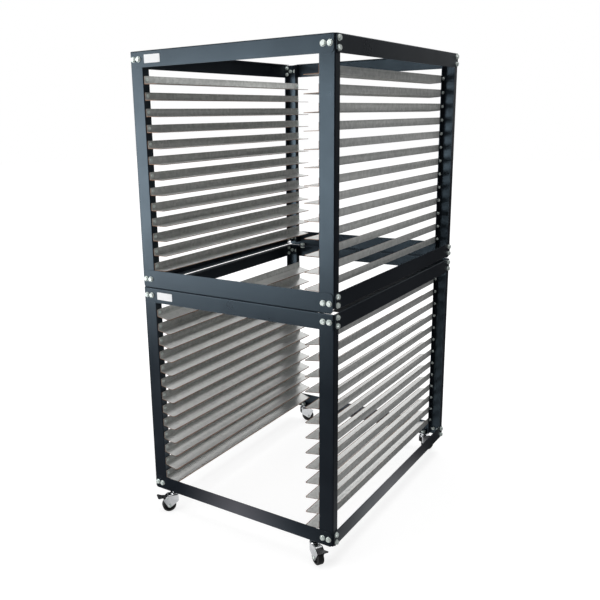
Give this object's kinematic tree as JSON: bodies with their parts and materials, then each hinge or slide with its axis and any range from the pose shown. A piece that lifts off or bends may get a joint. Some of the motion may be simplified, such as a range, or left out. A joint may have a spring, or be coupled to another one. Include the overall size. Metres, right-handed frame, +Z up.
{
  "type": "screen printing rack cart",
  "caption": "Tall open rack cart of bolted black channel and angle steel with galvanized shelf rails on both sides for sliding in framed screens, on swivel casters.",
  "frame": {"origin": "on the floor under the middle of the frame", "axes": "+X to the right seen from the front, -Y out of the front where screens slide in, +Z up"},
  "size_m": [0.7572, 1.041, 1.613],
  "materials": {
    "black_frame": "satin",
    "galvanized_shelf": "satin",
    "zinc_fastener": "polished",
    "chrome_caster": "polished",
    "black_wheel": "matte",
    "black_lever": "satin"
  },
  "bodies": {
    "root": {"crown_rail_front": "black_frame", "crown_rail_rear": "black_frame", "crown_rail_left": "black_frame", "crown_rail_right": "black_frame", "upper_bottom_rail_front": "black_frame", "upper_bottom_rail_rear": "black_frame", "upper_bottom_rail_left": "black_frame", "upper_bottom_rail_right": "black_frame", "lower_top_rail_front": "black_frame", "lower_top_rail_rear": "black_frame", "lower_top_rail_left": "black_frame", "lower_top_rail_right": "black_frame", "lower_bottom_rail_front": "black_frame", "lower_bottom_rail_rear": "black_frame", "lower_bottom_rail_left": "black_frame", "lower_bottom_rail_right": "black_frame", "lower_post_front_left": "black_frame", "lower_post_front_right": "black_frame", "lower_post_rear_left": "black_frame", "lower_post_rear_right": "black_frame", "upper_post_front_left": "black_frame", "upper_post_front_right": "black_frame", "upper_post_rear_left": "black_frame", "upper_post_rear_right": "black_frame", "lower_shelf_rails_left": "galvanized_shelf", "lower_shelf_rails_right": "galvanized_shelf", "upper_shelf_rails_left": "galvanized_shelf", "upper_shelf_rails_right": "galvanized_shelf", "lower_frame_bolts": "zinc_fastener", "upper_frame_bolts": "zinc_fastener", "lower_frame_nuts": "zinc_fastener", "upper_frame_nuts": "zinc_fastener", "lower_shelf_bolts": "zinc_fastener", "upper_shelf_bolts": "zinc_fastener", "lower_shelf_nuts": "zinc_fastener", "upper_shelf_nuts": "zinc_fastener", "stacking_bolts": "zinc_fastener", "stacking_nuts": "zinc_fastener", "caster_stem_nuts": "zinc_fastener", "caster_stem_front_left": "chrome_caster", "caster_stem_front_right": "chrome_caster", "caster_stem_rear_left": "chrome_caster", "caster_stem_rear_right": "chrome_caster"},
    "fork_front_left": {"caster_fork_front_left": "chrome_caster", "caster_axle_front_left": "zinc_fastener", "brake_pin_front_left": "zinc_fastener"},
    "wheel_front_left": {"caster_wheel_front_left": "black_wheel"},
    "lever_front_left": {"brake_lever_front_left": "black_lever"},
    "fork_front_right": {"caster_fork_front_right": "chrome_caster", "caster_axle_front_right": "zinc_fastener", "brake_pin_front_right": "zinc_fastener"},
    "wheel_front_right": {"caster_wheel_front_right": "black_wheel"},
    "lever_front_right": {"brake_lever_front_right": "black_lever"},
    "fork_rear_left": {"caster_fork_rear_left": "chrome_caster", "caster_axle_rear_left": "zinc_fastener"},
    "wheel_rear_left": {"caster_wheel_rear_left": "black_wheel"},
    "fork_rear_right": {"caster_fork_rear_right": "chrome_caster", "caster_axle_rear_right": "zinc_fastener"},
    "wheel_rear_right": {"caster_wheel_rear_right": "black_wheel"}
  },
  "joints": [
    {"name": "swivel_front_left", "type": "hinge", "parent": "root", "child": "fork_front_left", "pos_m": [-0.295, -0.469, 0.066], "axis": [0, 0, 1], "continuous": true},
    {"name": "spin_front_left", "type": "hinge", "parent": "fork_front_left", "child": "wheel_front_left", "pos_m": [-0.30855, -0.48634, 0.025], "axis": [0.788, -0.6157, 0], "continuous": true},
    {"name": "brake_front_left", "type": "hinge", "parent": "fork_front_left", "child": "lever_front_left", "pos_m": [-0.31347, -0.49264, 0.0546], "axis": [0.788, -0.6157, 0], "range_deg": [0, 15]},
    {"name": "swivel_front_right", "type": "hinge", "parent": "root", "child": "fork_front_right", "pos_m": [0.295, -0.469, 0.066], "axis": [0, 0, 1], "continuous": true},
    {"name": "spin_front_right", "type": "hinge", "parent": "fork_front_right", "child": "wheel_front_right", "pos_m": [0.31366, -0.48066, 0.025], "axis": [0.5299, 0.848, 0], "continuous": true},
    {"name": "brake_front_right", "type": "hinge", "parent": "fork_front_right", "child": "lever_front_right", "pos_m": [0.32044, -0.4849, 0.0546], "axis": [0.5299, 0.848, 0], "range_deg": [0, 15]},
    {"name": "swivel_rear_left", "type": "hinge", "parent": "root", "child": "fork_rear_left", "pos_m": [-0.295, 0.469, 0.066], "axis": [0, 0, 1], "continuous": true},
    {"name": "spin_rear_left", "type": "hinge", "parent": "fork_rear_left", "child": "wheel_rear_left", "pos_m": [-0.28086, 0.48585, 0.025], "axis": [-0.766, 0.6428, 0], "continuous": true},
    {"name": "swivel_rear_right", "type": "hinge", "parent": "root", "child": "fork_rear_right", "pos_m": [0.295, 0.469, 0.066], "axis": [0, 0, 1], "continuous": true},
    {"name": "spin_rear_right", "type": "hinge", "parent": "fork_rear_right", "child": "wheel_rear_right", "pos_m": [0.30762, 0.48702, 0.025], "axis": [-0.8192, 0.5736, 0], "continuous": true}
  ]
}
